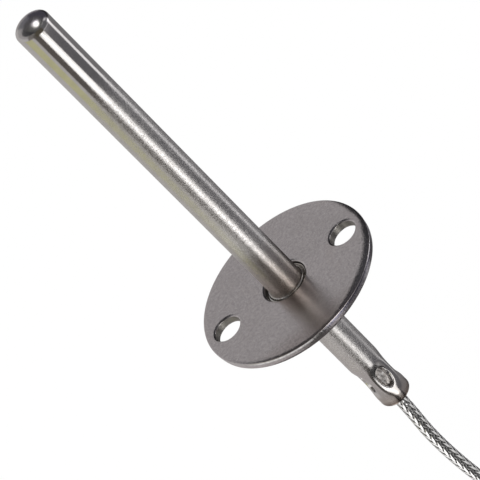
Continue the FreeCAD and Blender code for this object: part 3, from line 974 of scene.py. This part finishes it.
def woven(name, low, high):
    """Glass-fibre sleeving: a fine diagonal weave with a soft sheen."""
    m = Nodes(name).set(Roughness=0.75)
    place = m.place()
    bands = []
    for tilt in (1.0, -1.0):
        inputs = {"Vector": m.stretched(place, (tilt, 1.0, 1.0)), "Scale": 900.0}
        wave = m.add("ShaderNodeTexWave", inputs, wave_type="BANDS", bands_direction="DIAGONAL")
        bands.append(wave.outputs["Fac"])
    weave = m.math("MAXIMUM", *bands)
    fuzz = m.noise(place, 2500.0, 3.0)
    m.set(Base_Color=m.ramp(m.times(weave, fuzz), [(0.1, low), (0.55, high)]))
    m.bump(m.plus(weave, fuzz), 0.00008, 0.6)
    return m.material


def plastic(name, low, high, rough):
    """Moulded or shrunk plastic with a faint orange-peel."""
    m = Nodes(name)
    peel = m.noise(m.place(), 1400.0, 3.0)
    roughness = m.between(peel, 0.3, 0.7, rough - 0.06, rough + 0.06)
    m.set(Base_Color=m.ramp(peel, [(0.3, low), (0.7, high)]), Roughness=roughness)
    m.bump(peel, 0.00005, 0.3)
    return m.material


def cement():
    """Dull, grainy ceramic."""
    m = Nodes("tip_cement_fill").set(Roughness=0.9)
    grain = m.noise(m.place(), 2600.0, 4.0, 0.7)
    m.set(Base_Color=m.ramp(grain, [(0.3, (0.70, 0.67, 0.60)), (0.7, (0.86, 0.84, 0.78))]))
    m.bump(grain, 0.0001, 0.6)
    return m.material


def dress(piece, material):
    """Gives a new piece its material and slot, and lets it ride on the part."""
    piece.data.materials.clear()
    piece.data.materials.append(material)
    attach(piece, "root")
    return piece


def dress_node(name, material):
    """Gives one of the solids its material."""
    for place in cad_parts[name].material_slots:
        place.material = material


# Pieces

sheath = dress(build_sheath(), tube_steel())
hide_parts("probe_sheath")
flange = dress(build_flange(), flange_steel())
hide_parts("mounting_flange")
weld = dress(build_weld(), weld_metal())
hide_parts("flange_weld")

# The whole cable is one line: out of the crimp, round the coil and down to the sleeve
cable_line, cable_places = evenly(smooth_line(CABLE_ROUTE + coil_points() + TAIL_ROUTE), CABLE_STEP)
core_radii = CORE_RADIUS + (CABLE_RADIUS - CORE_RADIUS) * smooth_step(*CORE_GROWS, cable_places)
cable = wrapped_tube("cable", cable_line, cable_places, core_radii, CABLE_SIDES)
dress(cable, braid_steel())
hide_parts("braided_cable", "cable_coil", "cable_tail")
braid = build_braid("cable_braid", cable_line, cable_places, BRAID_START, BRAID_STOP)
dress(braid, strand_steel())
tie_plastic = plastic("tie_plastic", (0.76, 0.76, 0.73), (0.84, 0.84, 0.81), 0.42)
tie = dress(build_tie(), tie_plastic)
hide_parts("coil_tie")
tie_head = dress(build_tie_head(), tie_plastic)
lead_end = TAIL_ROUTE[-1]
end_sleeve = build_end_sleeve((lead_end[0], lead_end[1], lead_end[2] + SLEEVE_RISE))
sleeve_plastic = plastic("end_sleeve_plastic", (0.018, 0.018, 0.02), (0.035, 0.035, 0.037), 0.48)
dress(end_sleeve, sleeve_plastic)
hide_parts("braid_end_sleeve")

lug_metal = plain_metal("terminal_metal", grey(0.58, 0.01), grey(0.68, 0.01), 0.32, 1200.0)
for polarity, side, fibre, boot in (
    ("positive", 1, ((0.36, 0.05, 0.04), (0.58, 0.11, 0.09)), ((0.50, 0.035, 0.03), (0.60, 0.06, 0.05))),
    ("negative", -1, ((0.05, 0.09, 0.28), (0.11, 0.18, 0.45)), ((0.035, 0.09, 0.36), (0.06, 0.13, 0.46))),
):
    route = [(lead_end[0] + side * across, lead_end[1], lead_end[2] + down) for across, down in LEAD_RUNS]
    lead = build_lead(f"{polarity}_lead_wire", route)
    dress(lead, woven(f"{polarity}_lead_fibre", *fibre))
    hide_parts(f"{polarity}_lead")
    dress_node(f"{polarity}_terminal", lug_metal)
    dress_node(f"{polarity}_boot", plastic(f"{polarity}_boot_plastic", *boot, 0.4))

dress_node("hot_junction", plain_metal("bead_metal", grey(0.34, 0.04), grey(0.46, 0.03), 0.4, 1500.0))
warm_wire = plain_metal("positive_wire_metal", (0.46, 0.43, 0.39), (0.54, 0.51, 0.47), 0.35, 2000.0)
dress_node("positive_wire", warm_wire)
dress_node("negative_wire", plain_metal("negative_wire_metal", grey(0.55), grey(0.64), 0.3, 2000.0))
sleeving = woven("wire_sleeve_fibre", (0.70, 0.67, 0.58), (0.90, 0.88, 0.82))
dress_node("positive_sleeve", sleeving)
dress_node("negative_sleeve", sleeving)
dress_node("tip_cement", cement())

# Studio: a pale floor, a tent of soft cards around the part, and soft lamps

FLOOR_HEIGHT = -0.66
FLOOR_RADIUS = 9.0
FLOOR_SIDES = 96
FLOOR_GLOW = 0.8
TENT_RADIUS = 0.5
TENT_INSIDE = TENT_RADIUS - 0.02
CEILING_SIDES = 72
CARD_STEP = 3
CLOSE_RADIUS = 0.03
MOUTH_RADIUS = 0.017
BASE_RADIUS = 0.065
CAMERA_PLACE = (0.048354, -0.331509, 0.243827)
CAMERA_RIGHT = (0.76038, -0.29378, -0.57924)
CAMERA_UP = (0.63834, 0.50250, 0.58310)
CAMERA_BACK = (0.11976, -0.81313, 0.56962)
LENS = 194.95
SENSOR = 36.0
VIEW_AZIMUTH = math.degrees(math.atan2(CAMERA_PLACE[1], CAMERA_PLACE[0]))
LAMP_TARGET = (0.0, 0.0, -0.03)

# Heights in the tent, in metres: its foot, a seam, and its middle, where the high cards begin
FOOT = FLOOR_HEIGHT + 0.01
SEAM = -0.345
MIDDLE = -0.06
GROUND_HEIGHT = FLOOR_HEIGHT + 0.02

# Colours of several cards
WARM = (1.0, 0.985, 0.965)
BLUISH = (1.0, 0.97, 1.0)
BRIGHT = (1.0, 0.99, 1.0)
BROWN = (1.0, 0.90, 0.82)
TAN = (1.0, 0.93, 0.86)
COOL = (0.96, 0.95, 1.0)

# The glint that the flange mirrors beside the tube, in millimetres
GLINT_X = 3.6
GLINT_Y = 0.9
GLINT_LONG = 7.4
GLINT_WIDE = 3.1
GLINT_LEAN = math.radians(108)
GLINT_SIDES = 48


def build_camera():
    """The photograph's view."""
    data = bpy.data.cameras.new("camera")
    data.lens = LENS
    data.sensor_width = SENSOR
    data.clip_start = 0.01
    data.clip_end = 50.0
    camera = new_object("camera", data)
    axes = Matrix((CAMERA_RIGHT, CAMERA_UP, CAMERA_BACK)).transposed()
    camera.matrix_world = Matrix.Translation(CAMERA_PLACE) @ axes.to_4x4()
    bpy.context.scene.camera = camera


def background_ray(nodes):
    """One for rays that show the background: seen, mirrored or through glass."""
    path = nodes.add("ShaderNodeLightPath")
    seen = nodes.math("MAXIMUM", path.outputs["Is Camera Ray"], path.outputs["Is Glossy Ray"])
    return nodes.math("MAXIMUM", seen, path.outputs["Is Transmission Ray"])


def build_floor():
    """A wide pale disc that shows white and keeps some of the shadow."""
    m = Nodes("floor").set(Base_Color=(0.9, 0.9, 0.9, 1.0), Roughness=0.9)
    glow = m.add("ShaderNodeEmission").outputs[0]
    share = m.times(background_ray(m), FLOOR_GLOW)
    m.show(m.add("ShaderNodeMixShader", {0: share, 1: m.surface.outputs[0], 2: glow}).outputs[0])
    points = [(x / MM, y / MM, FLOOR_HEIGHT / MM) for x, y in circle(FLOOR_RADIUS, FLOOR_SIDES)]
    floor = mesh_object("floor", points, [tuple(range(FLOOR_SIDES))], smooth=False)
    floor.data.materials.append(m.material)


def build_world():
    """Plain white surroundings."""
    world = bpy.data.worlds.new("studio")
    bpy.context.scene.world = world
    world.use_nodes = True
    world.node_tree.nodes["Background"].inputs["Color"].default_value = (1.0, 1.0, 1.0, 1.0)


def show_card(piece, colour, strength):
    """Makes a piece glow without being seen itself."""
    m = Nodes(piece.name)
    m.show(m.add("ShaderNodeEmission", {"Color": (*colour, 1.0), "Strength": strength}).outputs[0])
    m.tree.nodes.remove(m.surface)
    piece.data.materials.append(m.material)
    piece.visible_camera = False
    piece.visible_shadow = False


def sector(name, start, stop, edges, colour, strength):
    """A card around the axis: degrees from the camera's side, and its two edges as radius and height."""
    steps = max(2, int((stop - start) / CARD_STEP))
    points = []
    for angle in np.radians(VIEW_AZIMUTH + np.linspace(start, stop, steps + 1)):
        for radius, height in edges:
            points.append((radius * math.cos(angle) / MM, radius * math.sin(angle) / MM, height / MM))
    faces = [(2 * i, 2 * i + 1, 2 * i + 3, 2 * i + 2) for i in range(steps)]
    show_card(mesh_object(name, points, faces), colour, strength)


def card(name, start, stop, low, high, colour, strength, radius=TENT_RADIUS):
    """An upright card, bent around the part."""
    sector(f"{name}_card", start, stop, ((radius, low), (radius, high)), colour, strength)


def flat_card(name, start, stop, inner, outer, height, colour, strength):
    """A level card over the floor or under the ceiling."""
    sector(f"{name}_card", start, stop, ((inner, height), (outer, height)), colour, strength)


def build_tent():
    """The broad cards that the tube, the crimp and the flange mirror."""
    near = TENT_INSIDE
    card("left", -186, -39, SEAM, MIDDLE, (1.0, 0.97, 0.95), 0.52)
    card("left_low", -186, -39, FOOT, SEAM, (1.0, 0.935, 0.925), 0.47)
    card("left_high", -164, -70, MIDDLE, 0.22, (1.0, 0.97, 0.96), 0.55, near)
    card("gap", -39, -7, FOOT, 0.24, BROWN, 0.115)
    card("left_mid", -70, -39, MIDDLE, 0.24, (1.0, 0.93, 0.88), 0.22, near)
    card("key", -7, 28, SEAM, 0.40, WARM, 1.4, near)
    card("key_core", 5, 13, SEAM, 0.40, WARM, 3.2, near - 0.01)
    card("key_low", 0, 20, FOOT, SEAM, WARM, 1.2, near)
    card("gap_low", -39, 0, FOOT, SEAM, BROWN, 0.07, near - 0.01)
    card("gap_high", -70, -7, 0.24, 0.45, TAN, 0.16, near - 0.02)
    card("gap_top", -7, 30, 0.40, 0.47, TAN, 0.10, near - 0.02)
    card("right_dark", 27, 84, FOOT, 0.45, (0.96, 0.94, 1.0), 0.14)
    card("edge", 84, 101, SEAM, MIDDLE, BRIGHT, 1.1)
    card("edge_low", 84, 101, FOOT, SEAM, BRIGHT, 0.6)
    card("edge_high", 84, 101, 0.25, 0.42, BRIGHT, 0.9, near - 0.01)
    card("edge_top", 80, 104, MIDDLE, 0.03, (0.97, 0.98, 1.0), 2.0, near - 0.01)
    card("far", 101, 174, -0.44, MIDDLE, BLUISH, 0.21)
    card("far_low", 101, 174, FOOT, -0.44, BLUISH, 0.07)
    card("upper_right", 104, 162, MIDDLE, 0.47, (0.96, 0.92, 1.0), 0.03, near)
    flat_card("upper_right_roof", 95, 152, 0.16, near, 0.46, (0.92, 0.92, 1.0), 0.07)
    card("green", -100, -56, -0.29, MIDDLE, (0.9, 0.88, 0.54), 0.60, near)
    flat_card("ground", -180, 180, 0.02, near, GROUND_HEIGHT, BLUISH, 0.12)


def build_cable_cards():
    """Close cards: rows of light on the braid, with a dark middle, and the light on the crimp's mouth."""
    low, high = -0.12, -0.0552
    for name, start, stop, strength in (
        ("left_row", -84, -40, 1.7),
        ("left_edge", -150, -84, 0.45),
        ("left_fade", -40, -30, 0.3),
        ("right_fade", 42, 52, 0.42),
        ("right_row", 52, 80, 0.75),
    ):
        card(name, start, stop, low, high, WARM, strength, CLOSE_RADIUS)
    card("middle_row", -30, 42, low, -0.0530, BLUISH, 0.035, CLOSE_RADIUS)
    low, high = -0.0452, -0.0397
    card("left_mouth", -130, -22, low, high, (1.0, 0.94, 0.91), 0.40, MOUTH_RADIUS)
    card("right_mouth", 38, 120, low, high, (1.0, 0.96, 0.98), 0.22, MOUTH_RADIUS)
    card("middle_mouth", -30, 42, -0.0560, -0.0432, BLUISH, 0.035, MOUTH_RADIUS)


def build_glint():
    """Three ovals over the tip that the flange mirrors: a bright glint, its glow and a haze."""
    cos, sin = math.cos(GLINT_LEAN), math.sin(GLINT_LEAN)
    for name, size, height, strength in (
        ("glint_card", 0.78, 78.0, 2.4),
        ("glow_card", 1.2, 78.5, 0.6),
        ("haze_card", 3.0, 79.0, 0.11),
    ):
        points = []
        for along, across in circle(size, GLINT_SIDES):
            x = GLINT_X + GLINT_LONG * along * cos - GLINT_WIDE * across * sin
            y = GLINT_Y + GLINT_LONG * along * sin + GLINT_WIDE * across * cos
            points.append((x, y, height))
        show_card(mesh_object(name, points, [tuple(range(GLINT_SIDES))]), WARM, strength)


def build_part_cards():
    """Close cards for the tip's dome, the tube's foot, the flange's rim and the streak on its face."""
    card("tip_dark", 104, 176, 0.0690, 0.1300, (0.88, 0.85, 1.0), 0.09, CLOSE_RADIUS)
    card("tip_fade", 176, 200, 0.0720, 0.1300, (0.94, 0.94, 1.0), 0.21, CLOSE_RADIUS)
    low, high = 0.0335, 0.0405
    card("base_right", 30, 84, low, high, BLUISH, 0.6, BASE_RADIUS)
    card("base_edge", 84, 103, low, high, WARM, 2.0, BASE_RADIUS)
    card("rim_left", -95, -20, -0.0490, -0.0300, WARM, 0.95, BASE_RADIUS)
    card("streak", -22, 30, low, 0.12, (1.0, 0.86, 0.60), 0.08, BASE_RADIUS)


def build_ceiling():
    """A grey wall around the tent, and a dark dome over it."""
    card("wall", -180, 180, MIDDLE, 0.50, (1.0, 0.965, 0.965), 0.40, TENT_RADIUS + 0.02)
    rows = [(TENT_RADIUS, 0.50), (0.42, 0.6), (0.25, 0.7), (0.08, 0.74)]
    points = []
    for radius, height in rows:
        points += [(x / MM, y / MM, height / MM) for x, y in circle(radius, CEILING_SIDES)]
    faces = ring_faces(len(rows), CEILING_SIDES)
    faces.append(tuple(range(len(points) - CEILING_SIDES, len(points))))
    show_card(mesh_object("ceiling_card", points, faces), COOL, 0.05)
    flat_card("left_roof", -164, -70, 0.25, TENT_INSIDE, 0.47, COOL, 0.08)


def lamp(name, place, size, watts):
    """A soft round lamp that shines on the part and is not mirrored in it."""
    data = bpy.data.lights.new(name, "AREA")
    data.shape = "DISK"
    data.size = size
    data.energy = watts
    light = new_object(name, data)
    light.location = place
    light.rotation_euler = (Vector(LAMP_TARGET) - Vector(place)).to_track_quat("-Z", "Y").to_euler()
    light.visible_camera = False
    light.visible_glossy = False


build_camera()
build_floor()
build_world()
build_tent()
build_cable_cards()
build_glint()
build_part_cards()
build_ceiling()
lamp("main_lamp", (0.7, -0.9, 1.3), size=0.6, watts=15.0)
lamp("fill_lamp", (-1.1, -0.4, 0.9), size=0.8, watts=6.0)
bpy.context.scene.view_settings.view_transform = "Standard"
